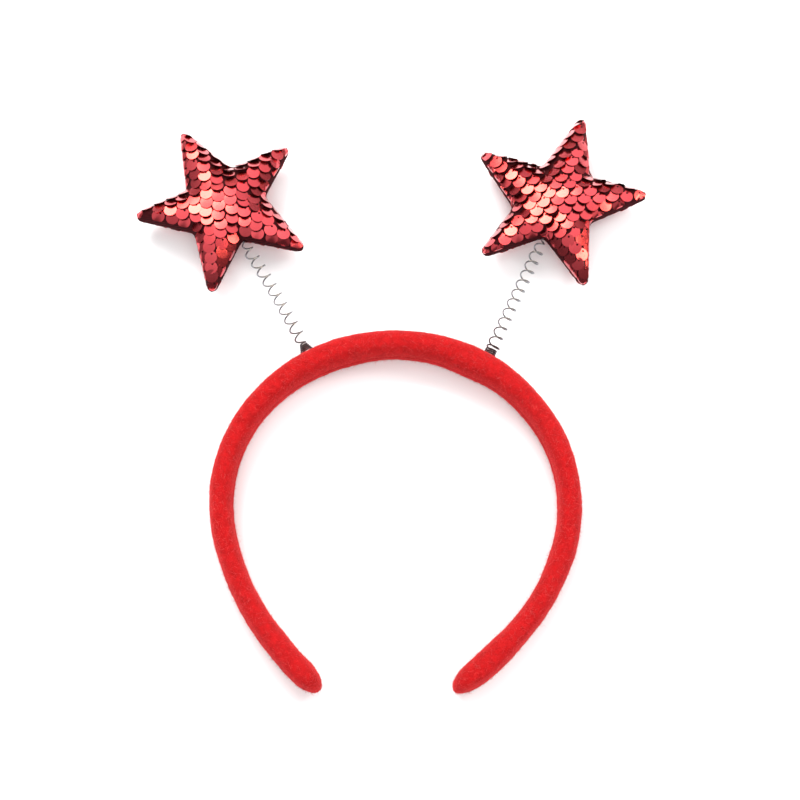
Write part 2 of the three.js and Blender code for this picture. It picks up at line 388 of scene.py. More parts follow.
def felt_material(name, dark, middle, light):
    """Needled acrylic felt in three shades of one dye."""
    material, tree = new_material(name)
    place = add_node(tree, "ShaderNodeTexCoord").outputs["Object"]
    clumps = add_node(tree, "ShaderNodeTexNoise", {
        "Vector": place, "Scale": 1 / CLUMP_SIZE, "Detail": 3.0, "Roughness": 0.6, "Distortion": 0.6,
    })
    fibre = add_node(tree, "ShaderNodeTexNoise", {
        "Vector": place, "Scale": 1 / FIBRE_SIZE, "Detail": 5.0, "Roughness": 0.65, "Distortion": 2.2,
    })
    clump_share = add_node(tree, "ShaderNodeMapRange", {
        "Value": clumps.outputs["Fac"], "From Min": 0.35, "From Max": 0.68,
    })
    fibre_share = add_node(tree, "ShaderNodeMapRange", {
        "Value": fibre.outputs["Fac"], "From Min": 0.40, "From Max": 0.72, "To Max": 0.7,
    })
    clump_colour = add_node(tree, "ShaderNodeMix", {
        0: clump_share.outputs[0], 6: linear(dark), 7: linear(middle),
    }, data_type="RGBA")
    felt_colour = add_node(tree, "ShaderNodeMix", {
        0: fibre_share.outputs[0], 6: clump_colour.outputs[2], 7: linear(light),
    }, data_type="RGBA")
    relief = add_node(tree, "ShaderNodeBump", {
        "Height": fibre.outputs["Fac"], "Strength": 0.8, "Distance": FIBRE_RELIEF,
    })
    felt = add_node(tree, "ShaderNodeBsdfPrincipled", {
        "Base Color": felt_colour.outputs[2],
        "Roughness": 0.95,
        "Specular IOR Level": 0.15,
        "Sheen Weight": 1.0,
        "Sheen Roughness": 0.4,
        "Sheen Tint": linear("#FF5656"),
        "Normal": relief.outputs[0],
    })
    add_node(tree, "ShaderNodeOutputMaterial", {"Surface": felt.outputs[0]})
    return material


felt_red = felt_material("red acrylic felt, needled", "#9A060A", "#B80D11", "#D02A2C")
print("felt:", felt_red.name)

# %% [markdown]
# The hoop's centre line is three arcs down each side of the crown. Walking an arc is simple: the
# heading turns by length over radius, and the place follows from the sine and cosine of the heading.
# The crown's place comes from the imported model's own mount on the inner face there.

# %% Centre line of the hoop
BAND_WIDTH = 15.5 * MM
CROWN_DEPTH = 9.2 * MM
HALF_ARCS = {
    "right": [
        {"radius": 67, "sweep_deg": 53, "end_depth": 9.2},
        {"radius": 58, "sweep_deg": 54, "end_depth": 8.6},
        {"radius": 95, "sweep_deg": 37.5, "end_depth": 8.6},
    ],
    "left": [
        {"radius": 68.5, "sweep_deg": 43, "end_depth": 9.2},
        {"radius": 58, "sweep_deg": 62, "end_depth": 8.6},
        {"radius": 106, "sweep_deg": 32.6, "end_depth": 8.6},
    ],
}
RING_SPACING = 0.9 * MM
mounts = {mount["name"]: mount for mount in frame["record"]["mounts"]}
crown_top = np.array(mounts["worn_on_head"]["pos_m"][:2]) + (0, CROWN_DEPTH / 2)


def walk_half(side):
    """Places, headings and depths from the crown's top down to one end."""
    outward = 1 if side == "right" else -1
    place, heading, depth = np.zeros(2), 0.0, CROWN_DEPTH
    rows = []
    for arc in HALF_ARCS[side]:
        radius = arc["radius"] * MM
        sweep = math.radians(arc["sweep_deg"])
        end_depth = arc["end_depth"] * MM
        turned = np.linspace(0, sweep, int(radius * sweep / RING_SPACING) + 1)
        now = heading - turned
        x = place[0] + radius * (math.sin(heading) - np.sin(now))
        y = place[1] + radius * (np.cos(now) - math.cos(heading))
        depths = depth + (end_depth - depth) * turned / sweep
        rows.append(np.column_stack([x, y, now, depths])[0 if not rows else 1:])
        place, heading, depth = np.array([x[-1], y[-1]]), now[-1], end_depth
    walk = np.concatenate(rows)
    places = walk[:, :2] * (outward, 1) + crown_top
    headings = np.column_stack([outward * np.cos(walk[:, 2]), np.sin(walk[:, 2])])
    return places, headings, walk[:, 3]


left_walk = walk_half("left")
right_walk = walk_half("right")
line_places = np.concatenate([left_walk[0][:0:-1], right_walk[0]])
line_headings = np.concatenate([-left_walk[1][:0:-1], right_walk[1]])
line_depths = np.concatenate([left_walk[2][:0:-1], right_walk[2]])
steps = np.linalg.norm(np.diff(line_places, axis=0), axis=1)
line_lengths = np.concatenate([[0], np.cumsum(steps)])
crown_length = line_lengths[len(left_walk[0]) - 1]
print(f"hoop: {len(line_places)} stations, {line_lengths[-1] / MM:.0f} mm along the middle")

# %% [markdown]
# The felt is wrapped round a sprung core with padding, so the section is a soft rounded rectangle:
# a superellipse does that with one formula. Its points are spread evenly along the real section.

# %% Section of the hoop
SECTION_POINTS = 88
SECTION_POWER = 2.5
SECTION_SAMPLES = 2001


def even_section():
    """The section's outline with half sizes of one, evenly spaced on the real section."""
    turn = np.linspace(0, 2 * np.pi, SECTION_SAMPLES)
    across = np.sign(np.cos(turn)) * np.abs(np.cos(turn)) ** (2 / SECTION_POWER)
    upward = np.sign(np.sin(turn)) * np.abs(np.sin(turn)) ** (2 / SECTION_POWER)
    gaps = np.hypot(np.diff(across) * CROWN_DEPTH, np.diff(upward) * BAND_WIDTH)
    length = np.concatenate([[0], np.cumsum(gaps)])
    even = np.linspace(0, length[-1], SECTION_POINTS, endpoint=False)
    return np.interp(even, length, across), np.interp(even, length, upward)


print("section:", SECTION_POINTS, "points round it")

# %% [markdown]
# The ends differ, because each was closed by hand: the left one bulges inward, and the right one
# tapers on its outer side. The wadding is thicker over the crown, most at the springs' feet, and
# uneven toward the ends. All of that is worked out for stations along the middle, from tip to tip.

# %% Stations and ends of the hoop
END_LENGTH = 6.4 * MM
END_RINGS = 10
SHIFT_LENGTH = 42 * MM
BULGE_FADE = np.array([8.5, 17]) * MM
TIPS = {
    "left": {"shift": -0.1, "bulge": 0.5, "outer_round": 9.0, "inner_round": 10.0},
    "right": {"shift": 0.5, "bulge": 0.3, "outer_round": 13.0, "inner_round": 8.5},
}
PADDING_MM = {
    "outer": [(0, 56, 0.5), (-31, 13, 0.5), (36, 14, 0.65), (118, 16, 0.5), (155, 12, -0.6)],
    "inner": [(0, 56, 0.35), (-160, 12, 0.9), (-24, 12, 0.5), (28, 12, 1.0), (155, 13, 0.9),
              (168, 9, 1.2)],
}


def smooth_step(value, low, high):
    """0 below low, 1 above high, and a smooth rise between."""
    share = np.clip((value - low) / (high - low), 0, 1)
    return share * share * (3 - 2 * share)


def rounding(from_tip, length):
    """Share of the full width near a tip, as at the end of an ellipse."""
    gone = 1 - np.clip(from_tip / length, 0, 1)
    return np.sqrt(1 - gone ** 2)


def padding(face, along):
    """Extra thickness of the wadding: bumps along the hoop, each with its place, reach and height."""
    from_crown = (along - crown_length) / MM
    bumps = [thick * np.exp(-((from_crown - at) / reach) ** 2) for at, reach, thick in PADDING_MM[face]]
    return sum(bumps) * MM


def hoop_stations():
    """Stations from tip to tip: place, outward way, three half sizes and distance to a tip."""
    past = END_LENGTH * np.sin(np.linspace(0, np.pi / 2, END_RINGS + 1)[1:-1])[:, None]
    places = np.concatenate([line_places[0] - line_headings[0] * past[::-1], line_places,
                             line_places[-1] + line_headings[-1] * past])
    headings = np.concatenate([line_headings[:1].repeat(len(past), axis=0), line_headings,
                               line_headings[-1:].repeat(len(past), axis=0)])
    along = np.concatenate([-past[::-1, 0], line_lengths, line_lengths[-1] + past[:, 0]])
    half = np.interp(along, line_lengths, line_depths) / 2
    inner, outer = half + padding("inner", along), half + padding("outer", along)
    upright, shift = np.full(len(half), BAND_WIDTH / 2), np.zeros(len(half))
    from_tips = {"left": along + END_LENGTH, "right": line_lengths[-1] + END_LENGTH - along}
    for side, from_tip in from_tips.items():
        tip = TIPS[side]
        near_tip = 1 - smooth_step(from_tip, *BULGE_FADE)
        inner = (inner + tip["bulge"] * MM * near_tip) * rounding(from_tip, tip["inner_round"] * MM)
        outer = outer * rounding(from_tip, tip["outer_round"] * MM)
        upright = upright * rounding(from_tip, END_LENGTH)
        shift = shift + tip["shift"] * MM * (1 - smooth_step(from_tip, 0, SHIFT_LENGTH))
    outward = np.column_stack([-headings[:, 1], headings[:, 0]])
    places = places - outward * shift[:, None]
    return places, outward, inner, outer, upright, np.minimum(*from_tips.values())


station_places, station_outward, inner_half, outer_half, upright_half, from_tip = hoop_stations()
print(f"hoop: {len(station_places)} rings, widest {(inner_half + outer_half).max() / MM:.1f} mm")

# %% [markdown]
# Points are quickest to read and to move all at once, as one array. These helpers do that, and one
# joins rings of points into a closed skin, which serves the hoop and later the springs' wire.

# %% Skin and point helpers
def skin_faces(ring_count, around):
    """Faces of a closed skin over rings, with one point before the first and one after the last."""
    faces = []
    first, last = ring_count * around, ring_count * around + 1
    for i in range(around):
        j = (i + 1) % around
        faces.append((first, j, i))
        for ring in range(ring_count - 1):
            here, there = ring * around, (ring + 1) * around
            faces.append((here + i, here + j, there + j, there + i))
        last_ring = (ring_count - 1) * around
        faces.append((last_ring + i, last_ring + j, last))
    return faces


def vertex_places(piece):
    """Vertex places as an array."""
    places = np.empty(len(piece.data.vertices) * 3)
    piece.data.vertices.foreach_get("co", places)
    return places.reshape(-1, 3)


def vertex_normals(piece):
    """Vertex normals as an array."""
    normals = np.empty(len(piece.data.vertices) * 3)
    piece.data.vertex_normals.foreach_get("vector", normals)
    return normals.reshape(-1, 3)


def move_vertices(piece, places):
    """Puts every vertex at its new place."""
    piece.data.vertices.foreach_set("co", places.ravel())
    piece.data.update()


print("a skin over 3 rings of 4 points has", len(skin_faces(3, 4)), "faces")

# %% [markdown]
# The felt cover is one closed skin of rings along the stations. It could be a swept curve, but a
# mesh in code lets every point move for itself. Lumps of three sizes keep it from looking turned on
# a lathe. The felt's two edges meet on the inner face, which leaves a fine groove there, and the
# underside settles flat on the table.

# %% Felt hoop
SETTLE = 0.3 * MM
JOINT_RISE = 1.0 * MM
JOINT_WIDTH = 0.5 * MM
JOINT_DEPTH = 0.45 * MM
JOINT_FADE = np.array([10, 20]) * MM
LUMPS = [(14 * MM, 0.22 * MM), (4.5 * MM, 0.12 * MM), (1.3 * MM, 0.06 * MM)]


def felt_hoop():
    """The hoop's felt skin, with its lumps, the groove of its joint, and a flat where it rests."""
    across, upward = even_section()
    wide = np.where(across > 0, outer_half[:, None], inner_half[:, None]) * across
    tall = upright_half[:, None] * upward
    flat = station_places[:, None] + station_outward[:, None] * wide[:, :, None]
    rings = np.concatenate([flat, tall[:, :, None] + BAND_WIDTH / 2], axis=2).reshape(-1, 3)
    tips = [(*(line_places[end] + sign * line_headings[end] * END_LENGTH
               - station_outward[end] * TIPS[side]["shift"] * MM), BAND_WIDTH / 2)
            for end, sign, side in ((0, -1, "left"), (-1, 1, "right"))]
    faces = skin_faces(len(station_places), SECTION_POINTS)
    hoop = mesh_piece("felt_hoop", np.concatenate([rings, tips]), faces, felt_red)
    along_hoop = smooth_step(from_tip, *JOINT_FADE)[:, None]
    groove = np.exp(-((tall - JOINT_RISE) / JOINT_WIDTH) ** 2) * (wide < 0) * along_hoop
    groove = np.concatenate([groove.ravel(), np.zeros(len(tips))])
    places = vertex_places(hoop)
    lumps = [sum(high * noise.noise(Vector(place) / wide) for wide, high in LUMPS) for place in places]
    places += vertex_normals(hoop) * (np.array(lumps) - JOINT_DEPTH * groove)[:, None]
    places[:, 2] = np.maximum(places[:, 2] - SETTLE * (1 - places[:, 2] / BAND_WIDTH), 0)
    move_vertices(hoop, places)
    return hoop


felt_band = felt_hoop()
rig.ride(felt_band, "hoop")
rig.replaces(felt_band, "band")
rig.slot(felt_band, "felt")
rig.padded(felt_band, fill=0.9)

# %% [markdown]
# Felt has a nap: loose ends of fibre that stand off the surface and soften its outline. Hair
# particles would do it, but they are not part of a mesh. Here each fibre is a thin three-sided
# spike with one bend, and all of them are one joined mesh. Real fibres are about 0.02 mm thick.
# They are drawn three to five times thicker, because finer ones would vanish between pixels.

# %% Fibre meshes
draws = np.random.default_rng(24)


def surface_samples(piece, count):
    """Random places on a mesh, even by area, with the surface normal at each."""
    mesh = piece.data
    mesh.calc_loop_triangles()
    corners = np.array([triangle.vertices[:] for triangle in mesh.loop_triangles])
    places = vertex_places(piece)
    normals = vertex_normals(piece)
    a, b, c = (places[corners[:, k]] for k in range(3))
    areas = np.linalg.norm(np.cross(b - a, c - a), axis=1)
    chosen = draws.choice(len(areas), count, p=areas / areas.sum())
    u, v = draws.random(count), draws.random(count)
    fold_back = u + v > 1
    u[fold_back], v[fold_back] = 1 - u[fold_back], 1 - v[fold_back]
    weights = np.column_stack([1 - u - v, u, v])[:, :, None]
    spots = (places[corners[chosen]] * weights).sum(axis=1)
    facing = (normals[corners[chosen]] * weights).sum(axis=1)
    return spots, facing / np.linalg.norm(facing, axis=1)[:, None]


def unit(vectors):
    """Vectors of length one."""
    return vectors / np.linalg.norm(vectors, axis=-1, keepdims=True)


def fibre_mesh(name, spines, radii, material):
    """One joined mesh of thin spikes. A spine is a row of points up to the spike's tip."""
    count, length = spines.shape[:2]
    along = unit(spines[:, -1] - spines[:, 0])
    helper = unit(np.cross(along, draws.normal(size=(count, 3))))
    other = np.cross(along, helper)
    points = []
    for row in range(length - 1):
        for corner in range(3):
            angle = 2 * math.pi * corner / 3
            spread = helper * math.cos(angle) + other * math.sin(angle)
            points.append(spines[:, row] + spread * (radii * (1 - row / length))[:, None])
    points.append(spines[:, -1])
    per_fibre = len(points)
    points = np.stack(points, axis=1).reshape(-1, 3)
    pattern = [(2, 1, 0)]
    for row in range(length - 2):
        for corner in range(3):
            after = (corner + 1) % 3
            here, there = 3 * row, 3 * (row + 1)
            pattern.append((here + corner, here + after, there + after, there + corner))
    top = 3 * (length - 2)
    pattern += [(top + corner, top + (corner + 1) % 3, per_fibre - 1) for corner in range(3)]
    faces = [tuple(per_fibre * i + k for k in face) for i in range(count) for face in pattern]
    return mesh_piece(name, points, faces, material)


print("random draws start from a fixed seed, so each run gives the same fibres")

# %% [markdown]
# The nap's fibres are about a millimetre long. They lie mostly along the surface, every way, and
# bend once. Their lengths follow a gamma curve, with many short ones and a few long.

# %% Nap
FIBRE_RADIUS = 0.035 * MM
NAP_COUNT = 16000
NAP_STRAY = 0.7
NAP_LIFT_DEG = (8, 60)
NAP_DROOP = 0.6
NAP_LENGTH_SHAPE = 4.0
NAP_LENGTH_SCALE = 0.26 * MM
ROOT_DEPTH = 0.05 * MM
FIBRE_FLOOR = 0.05 * MM


def nap_spines(piece, count):
    """Short bent fibres that mostly lie along the surface."""
    roots, facing = surface_samples(piece, count)
    lay = unit(np.cross(facing, draws.normal(size=(count, 3))))
    turn_aside = unit(lay + NAP_STRAY * draws.normal(size=(count, 3)))
    lift = np.radians(draws.uniform(*NAP_LIFT_DEG, count))[:, None]
    length = draws.gamma(NAP_LENGTH_SHAPE, NAP_LENGTH_SCALE, count)[:, None]
    first = lay * np.cos(lift) + facing * np.sin(lift)
    second = unit(turn_aside * np.cos(lift) + facing * np.sin(lift) * NAP_DROOP)
    start = roots - facing * ROOT_DEPTH
    bend = start + first * length / 2
    spines = np.stack([start, bend, bend + second * length / 2], axis=1)
    spines[:, :, 2] = np.maximum(spines[:, :, 2], FIBRE_FLOOR)
    return spines


# The nap is drawn paler than the felt. That is partly the fibres' own lighter look, and partly a painted highlight
# that brightens the felt's edges, where the fibres crowd the outline.
nap_fibre_with_painted_highlight = felt_material("red acrylic fibre, drawn and crimped", "#D0222C", "#E0363E", "#EC6064")
nap = fibre_mesh("felt_nap", nap_spines(felt_band, NAP_COUNT),
                 np.full(NAP_COUNT, FIBRE_RADIUS), nap_fibre_with_painted_highlight)
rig.ride(nap, "hoop")
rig.slot(nap, "felt")

# %% [markdown]
# Some fibres work loose and lie along the felt as pale threads a few millimetres long, and a few
# stand off it in a curl. The long ones are laid on the surface in the same way as the nap.

# %% Loose fibres
LOOSE_COUNT = 5000
LOOSE_RADIUS = 0.045 * MM
LOOSE_STRAY = 0.8
LOOSE_LENGTHS = np.array([1.2, 3.2]) * MM
LOOSE_RISE = 0.06 * MM
CURL_RADIUS = 0.072 * MM
CURLS_MM = [
    [(65.2, -27.8, 16.0), (66.6, -25.4, 17.0), (68.6, -24.6, 16.6), (70.2, -25.6, 15.4)],
    [(68.4, -33.2, 15.8), (70.0, -34.4, 15.6), (71.6, -34.2, 14.2), (72.4, -35.6, 12.8)],
]


def loose_spines(piece, count):
    """Longer fibres that lie flat on the surface, each with one bend."""
    roots, facing = surface_samples(piece, count)
    lay = unit(np.cross(facing, draws.normal(size=(count, 3))))
    aside = unit(lay + LOOSE_STRAY * draws.normal(size=(count, 3)))
    aside = unit(aside - facing * (aside * facing).sum(axis=1, keepdims=True))
    length = draws.uniform(*LOOSE_LENGTHS, count)[:, None]
    start = roots + facing * LOOSE_RISE
    bend = start + lay * length / 2
    spines = np.stack([start, bend, bend + aside * length / 2], axis=1)
    spines[:, :, 2] = np.maximum(spines[:, :, 2], FIBRE_FLOOR)
    return spines


pale_fibre = felt_material("pale red acrylic fibre, drawn and crimped", "#D04248", "#DA5856", "#E2847A")
loose = fibre_mesh("felt_loose_fibres", loose_spines(felt_band, LOOSE_COUNT),
                   np.full(LOOSE_COUNT, LOOSE_RADIUS), pale_fibre)
curls = fibre_mesh("felt_curls", np.array(CURLS_MM) * MM,
                   np.full(len(CURLS_MM), CURL_RADIUS), pale_fibre)
for fibres in (loose, curls):
    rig.ride(fibres, "hoop")
    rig.slot(fibres, "felt")

# %% [markdown]
# Spring wire is drawn cold through a die, which leaves it smooth and bright along its length. It
# is a metal, so its colour is its reflection. The close turns at the foot are drawn dark, and the
# first few open turns fade from dark to bright. A number stored on each point of the wire tells the
# shader how dark it is.

# %% Spring wire material
DRAW_LINE_SIZE = 0.12 * MM


def wire_material():
    """Drawn spring steel, bright on the open turns and darkened at the foot."""
    material, tree = new_material("spring steel wire, cold drawn")
    place = add_node(tree, "ShaderNodeTexCoord").outputs["Object"]
    darkness = add_node(tree, "ShaderNodeAttribute", attribute_name="darkened")
    lines = add_node(tree, "ShaderNodeTexNoise", {
        "Vector": place, "Scale": 1 / DRAW_LINE_SIZE, "Detail": 2.0,
    })
    bright = add_node(tree, "ShaderNodeMix", {
        0: lines.outputs["Fac"], 6: linear("#787A7E"), 7: linear("#B0B4B8"),
    }, data_type="RGBA")
    dull = add_node(tree, "ShaderNodeMix", {
        0: lines.outputs["Fac"], 6: linear("#2A2529"), 7: linear("#665C62"),
    }, data_type="RGBA")
    colour = add_node(tree, "ShaderNodeMix", {
        0: darkness.outputs["Fac"], 6: bright.outputs[2], 7: dull.outputs[2],
    }, data_type="RGBA")
    roughness = add_node(tree, "ShaderNodeMapRange", {
        "Value": darkness.outputs["Fac"], "To Min": 0.28, "To Max": 0.36,
    })
    steel = add_node(tree, "ShaderNodeBsdfPrincipled", {
        "Base Color": colour.outputs[2], "Metallic": 1.0, "Roughness": roughness.outputs[0],
    })
    add_node(tree, "ShaderNodeOutputMaterial", {"Surface": steel.outputs[0]})
    return material


spring_wire = wire_material()
print("wire:", spring_wire.name)

# %% [markdown]
# A coil is a helix whose pitch and radius change along it: close turns stand on the felt, open
# turns carry the star, and a small closed end goes into the star's seam. The path is worked out
# from the number of turns.

# %% Paths of the coils
STEPS_PER_TURN = 36
COIL_RADIUS = 2.2 * MM
HEAD_RADIUS = 0.2 * MM
FOOT_TURNS = 4.5
FOOT_PITCH = 0.8 * MM
HEAD_TURNS = 1
HEAD_PITCH = 1.8 * MM
HEAD_SINK = 1.0 * MM
FLARE_TURNS = (-0.9, -0.3)
FLARE_REACH = 0.4
OPENING_TURNS = (-0.2, 0.7)
CLOSING_TURNS = (-1.2, 0.7)
SPRINGS = {
    "left": {"foot": (-31.80, 17.09, 7.75), "head": (-57.56, 61.73, 9.0), "bow": -0.7, "rise": 1.0,
             "foot_base": 2.5, "foot_top": 1.1, "flare": 0.0, "turns": 10.7, "slant": 0.08},
    "right": {"foot": (36.86, 15.78, 7.75), "head": (58.72, 62.73, 9.0), "bow": 0.0, "rise": 0.4,
              "foot_base": 2.1, "foot_top": 2.0, "flare": 0.55, "turns": 11.2, "slant": 0.22},
}


def coil_path(spring):
    """Points along the middle of the wire, and how many turns each is from the foot."""
    foot, head = np.array(spring["foot"]) * MM, np.array(spring["head"]) * MM
    foot_base, foot_top = spring["foot_base"] * MM, spring["foot_top"] * MM
    flare, bow, rise = (spring[key] * MM for key in ("flare", "bow", "rise"))
    open_turns = spring["turns"]
    axis = unit(head - foot)
    across = unit(np.cross((0, 0, 1), axis))
    upright = np.cross(axis, across)
    start = foot + axis * rise
    length = np.linalg.norm(head - foot) - rise + HEAD_SINK
    all_turns = FOOT_TURNS + open_turns + HEAD_TURNS
    turn = np.linspace(0, all_turns, int(all_turns * STEPS_PER_TURN) + 1)
    past_foot = turn - FOOT_TURNS
    past_open = past_foot - open_turns
    open_length = length - FOOT_TURNS * FOOT_PITCH - HEAD_TURNS * HEAD_PITCH - flare
    height = np.minimum(turn, FOOT_TURNS) * FOOT_PITCH + flare * smooth_step(past_foot, *FLARE_TURNS)
    height = height + np.clip(past_foot, 0, open_turns) * open_length / open_turns
    height = height + np.maximum(past_open, 0) * HEAD_PITCH
    cone = foot_base + (foot_top - foot_base) * np.minimum(turn / FOOT_TURNS, 1)
    opening = smooth_step(past_foot, *OPENING_TURNS)
    closing = smooth_step(past_open, *CLOSING_TURNS)
    radius = cone + (COIL_RADIUS - foot_top) * opening + (HEAD_RADIUS - COIL_RADIUS) * closing
    radius = radius + flare * np.exp(-(past_foot / FLARE_REACH) ** 2)
    aside = bow * np.sin(np.pi * height / length) + radius * np.cos(2 * np.pi * turn)
    above = radius * np.sin(2 * np.pi * turn)
    height = height + spring["slant"] * above * opening * (1 - closing)
    return start + np.outer(height, axis) + np.outer(aside, across) + np.outer(above, upright), turn


coil_paths = {side: coil_path(SPRINGS[side]) for side in SIDES}
for side in SIDES:
    wire_length = np.linalg.norm(np.diff(coil_paths[side][0], axis=0), axis=1).sum()
    print(f"{side} spring: {wire_length / MM:.0f} mm of wire")

# %% [markdown]
# A round tube is swept along each path. A curve with a bevel would sweep it too, but a mesh lets
# each point keep its darkness and bend with the sway of the star.

# %% Springs
WIRE_DIAMETER = 0.6 * MM
TUBE_SIDES = 10
BRIGHTENING_TURNS = ((-0.2, 0.8), (0.8, 4.5))


def wire_rings(path):
    """Rings of points round a path, with the ring's zero mark carried along without twist."""
    along = unit(np.gradient(path, axis=0))
    mark = unit(np.cross(along[0], (0.3, 0.2, 1.0)))
    rings = []
    angles = 2 * np.pi * np.arange(TUBE_SIDES) / TUBE_SIDES
    for place, forward in zip(path, along):
        mark = unit(mark - forward * mark.dot(forward))
        other = np.cross(forward, mark)
        spread = np.outer(np.cos(angles), mark) + np.outer(np.sin(angles), other)
        rings.append(place + spread * WIRE_DIAMETER / 2)
    return np.concatenate(rings)


for side in SIDES:
    path, turn = coil_paths[side]
    points = np.concatenate([wire_rings(path), path[:1], path[-1:]])
    spring = mesh_piece(f"{side}_spring_wire", points, skin_faces(len(path), TUBE_SIDES), spring_wire)
    brightened = [smooth_step(turn - FOOT_TURNS, *stretch) for stretch in BRIGHTENING_TURNS]
    darkened = 1 - np.mean(brightened, axis=0)
    darkened = np.concatenate([np.repeat(darkened, TUBE_SIDES), darkened[[0, -1]]])
    shade = spring.data.attributes.new("darkened", "FLOAT", "POINT")
    shade.data.foreach_set("value", darkened.astype(np.float32))
    ends = (np.array(SPRINGS[side][key]) * MM for key in ("foot", "head"))
    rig.blend(spring, "hoop", f"{side}_star", **dict(zip(("start", "end"), ends)))
    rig.replaces(spring, f"{side}_spring")
    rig.slot(spring, "spring_steel")

# %% [markdown]
# Sequins are sewn to a backing cloth of dark red polyester in plain weave. Between the sequins the eye
# sees it as a dark matt ground with a fine grid of threads. Two wave textures, one each way, multiply
# to that grid. At scale one a wave repeats every 0.314 units, which gives the scale for a thread. Real
# threads are about 0.2 mm apart and are drawn coarser, so that they show.

# %% Backing cloth material
THREAD_SPACING = 0.5 * MM
WAVE_REPEAT = 0.314


def backing_cloth():
    """Dark red polyester, plain weave, which shows between and under the sequins."""
    material, tree = new_material("dark red polyester cloth, plain weave")
    place = add_node(tree, "ShaderNodeTexCoord").outputs["Object"]
    warp, weft = (add_node(tree, "ShaderNodeTexWave", {
        "Vector": place, "Scale": WAVE_REPEAT / THREAD_SPACING,
    }, bands_direction=way) for way in ("X", "Y"))
    weave = add_node(tree, "ShaderNodeMath", {0: warp.outputs["Fac"], 1: weft.outputs["Fac"]},
                     operation="MULTIPLY")
    colour = add_node(tree, "ShaderNodeMix", {
        0: weave.outputs[0], 6: linear("#2A060A"), 7: linear("#581018"),
    }, data_type="RGBA")
    relief = add_node(tree, "ShaderNodeBump", {
        "Height": weave.outputs[0], "Strength": 0.5, "Distance": 0.1 * MM,
    })
    cloth = add_node(tree, "ShaderNodeBsdfPrincipled", {
        "Base Color": colour.outputs[2], "Roughness": 0.85, "Specular IOR Level": 0.15,
        "Normal": relief.outputs[0],
    })
    add_node(tree, "ShaderNodeOutputMaterial", {"Surface": cloth.outputs[0]})
    return material


star_cloth = backing_cloth()
print("cloth:", star_cloth.name)

# %% [markdown]
# Each star is a small cushion: two pieces of that cloth, sewn along the edge and filled with wadding.
# The usual way to make such a cushion is a cloth simulation with air pressure in it. The star starts
# too thin and swells until the cloth holds it. Cloth this small needs a higher pressure than a seat
# pad. The edge seam keeps its outline, so a point near the seam hardly moves sideways.

# %% Swelling
SEAM_HEIGHT = 9 * MM
THIN_SHARE = 0.86
SWELL_CAP = 1.2 * MM
SWELL_FRAMES = 20
PAD_PRESSURE = 16.0
PAD_MASS = 0.05
SEAM_HOLD = 4 * MM


def take_shape(piece):
    """Replaces the mesh by what its modifiers make of it, and drops them."""
    shown = piece.evaluated_get(bpy.context.evaluated_depsgraph_get())
    shaped = bpy.data.meshes.new_from_object(shown)
    old = piece.data
    piece.modifiers.clear()
    piece.data = shaped
    shaped.name = piece.name
    bpy.data.meshes.remove(old)


def swell(pad):
    """Flattens the pad, then lets cloth pressure fill it out again."""
    thin = vertex_places(pad)
    thin[:, 2] = SEAM_HEIGHT + (thin[:, 2] - SEAM_HEIGHT) * THIN_SHARE
    move_vertices(pad, thin)
    cloth = pad.modifiers.new("cloth", "CLOTH")
    cloth.settings.use_pressure = True
    cloth.settings.uniform_pressure_force = PAD_PRESSURE
    cloth.settings.mass = PAD_MASS
    cloth.settings.effector_weights.gravity = 0
    for step in range(1, SWELL_FRAMES + 1):
        bpy.context.scene.frame_set(step)
    take_shape(pad)
    bpy.context.scene.frame_set(1)
    moved = vertex_places(pad) - thin
    far = np.linalg.norm(moved, axis=1, keepdims=True)
    moved *= np.minimum(1, SWELL_CAP / np.maximum(far, 1e-9))
    moved[:, :2] *= smooth_step(np.abs(thin[:, 2:] - SEAM_HEIGHT), 0, SEAM_HOLD)
    move_vertices(pad, thin + moved)
    print(f"{pad.name} swelled by {far.mean() / MM:.2f} mm on average, at most {far.max() / MM:.2f} mm")


print(f"pads swell for {SWELL_FRAMES} frames, by at most {SWELL_CAP / MM:.1f} mm")

# %% [markdown]
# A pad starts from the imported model's own star. A voxel remesh gives it even faces, which cloth
# needs. Then its sides are made fuller, it swells, and smoothing takes out its creases, because
# sequins make the cloth stiff.

# %% Stuffed pads
PAD_VOXEL = 0.7 * MM
FULLNESS = 1.8
STIFF_ROUNDS = 24
STIFF_FACTOR = 0.5


def stuffed_pad(side):
    """The star's cushion, made from its solid."""
    pad = bpy.data.objects.new(f"{side}_star_pad", frame["nodes"][f"{side}_star"].data.copy())
    bpy.context.scene.collection.objects.link(pad)
    remesh = pad.modifiers.new("even", "REMESH")
    remesh.mode = "VOXEL"
    remesh.voxel_size = PAD_VOXEL
    take_shape(pad)
    full = vertex_places(pad)
    rise = full[:, 2] - SEAM_HEIGHT
    most = np.abs(rise).max()
    full[:, 2] = SEAM_HEIGHT + np.sign(rise) * most * (1 - (1 - np.abs(rise) / most) ** FULLNESS)
    move_vertices(pad, full)
    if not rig.quick():
        swell(pad)
    stiff = pad.modifiers.new("stiff cloth", "SMOOTH")
    stiff.use_x = stiff.use_y = False
    stiff.factor = STIFF_FACTOR
    stiff.iterations = STIFF_ROUNDS
    take_shape(pad)
    pad.data.materials.clear()
    pad.data.materials.append(star_cloth)
    pad.data.shade_smooth()
    return pad


pads = {}
for side in SIDES:
    pads[side] = stuffed_pad(side)
    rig.ride(pads[side], f"{side}_star")
    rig.replaces(pads[side], f"{side}_star")
    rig.slot(pads[side], "sequin_cloth")
    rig.padded(pads[side], fill=0.8)
    print(f"{side} pad: {len(pads[side].data.polygons)} faces")

# %% [markdown]
# Sequins are punched from PET film that has a thin coat of metal under red lacquer. The film is
# satin, not a mirror: a fine speckle in the lacquer spreads each reflection. So the shader is a
# metal with a red tint and some roughness, under a clear coat for the pale glare of the film.

# %% Sequin film material
SPECKLE_SIZE = 0.16 * MM


